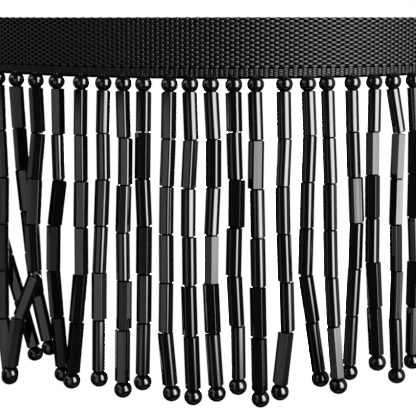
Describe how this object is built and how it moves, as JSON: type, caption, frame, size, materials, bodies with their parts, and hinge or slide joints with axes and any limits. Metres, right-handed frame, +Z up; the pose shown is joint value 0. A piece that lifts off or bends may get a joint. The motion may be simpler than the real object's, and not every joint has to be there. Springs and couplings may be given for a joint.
{
  "type": "beaded fringe trim",
  "caption": "Woven heading tape, hung in a shallow bow, with a fringe of bead strands along its lower edge; sewn on by its tape to edge a hem, shade or curtain.",
  "frame": {"origin": "on the tape's top edge, at the middle of its thickness, where its bow comes nearest the viewer", "axes": "+X along the trim to the viewer's right, +Y away from the viewer, +Z up; the strands hang towards -Z"},
  "size_m": [0.0948, 0.0254, 0.0698],
  "materials": {
    "tape_weave": "black plain weave with a soft sheen",
    "jet_beads": "polished opaque black"
  },
  "bodies": {
    "root": {"tape": "tape_weave", "fringe": "jet_beads"}
  },
  "joints": []
}
